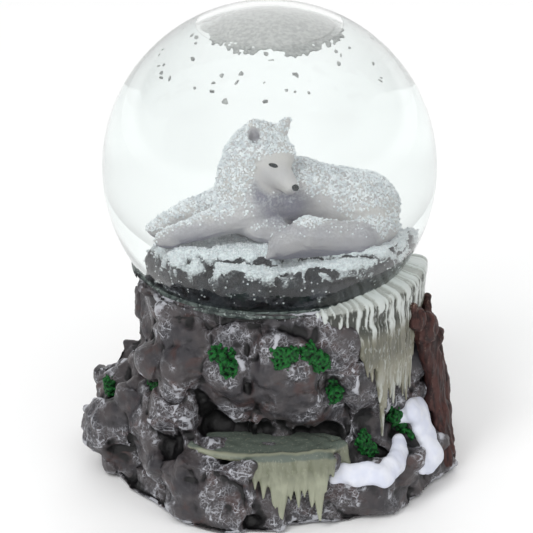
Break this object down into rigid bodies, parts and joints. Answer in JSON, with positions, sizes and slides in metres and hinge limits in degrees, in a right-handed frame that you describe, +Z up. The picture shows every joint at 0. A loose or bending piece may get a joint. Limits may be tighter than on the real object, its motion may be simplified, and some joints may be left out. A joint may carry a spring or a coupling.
{
  "type": "snow globe",
  "caption": "Water-filled glass snow globe with a lying wolf on a snowy ledge, set on a sculpted rock base with an ice fall, icicles, a frozen pond, snow, moss and a dead tree trunk.",
  "frame": {"origin": "centre of the felt pad's underside, on the resting plane, under the globe's axis", "axes": "+Z up along the globe's axis; -Y is the front, the side with the pond; +X is the right-hand side seen from the front, where the ice curtain and the trunk are"},
  "size_m": [0.1148, 0.1111, 0.144],
  "materials": {
    "rock": "painted cast resin, dark grey-brown with white dry-brushed veins, satin",
    "ledge": "painted cast resin, grey with frosted edges",
    "fur": "painted cast resin, white with glitter frost",
    "cement": "grey-green cement bead, satin",
    "glass": "clear blown glass, polished",
    "water": "clear liquid",
    "rubber": "moulded rubber, matte",
    "sealant": "silicone sealant, satin",
    "flakes": "plastic snow flakes, satin",
    "ice": "translucent resin, tinted yellow-grey and green, gloss",
    "snow": "white resin snow, satin",
    "bark": "painted cast resin, dark red-brown, satin",
    "moss": "granular foam moss, matte",
    "board": "pressed board, matte",
    "felt": "black felt, matte"
  },
  "bodies": {
    "globe_and_base": {"base_casting": "rock", "globe_cement": "cement", "glass_globe": "glass", "water_fill": "water", "rubber_stopper": "rubber", "sealant_bead": "sealant", "ledge_rock": "ledge", "wolf_figure": "fur", "pond_ice": "ice", "ice_curtain": "ice", "snow_patch_front": "snow", "snow_patch_right": "snow", "tree_trunk": "bark", "moss_rim_left": "moss", "moss_cliff_centre": "moss", "moss_cliff_right": "moss", "moss_cliff_low": "moss", "moss_left_ledge": "moss", "moss_far_left": "moss", "moss_pond_side": "moss", "moss_snow_side": "moss", "moss_back": "moss", "moss_back_low": "moss", "base_cover": "board", "felt_pad": "felt"},
    "snow": {"snow_raft": "flakes", "loose_flakes": "flakes"}
  },
  "joints": [
    {"name": "snow_swirl", "type": "hinge", "parent": "globe_and_base", "child": "snow", "pos_m": [0, 0, 0.094], "axis": [0, 0, 1], "continuous": true, "deforming": ["water_fill"]}
  ]
}
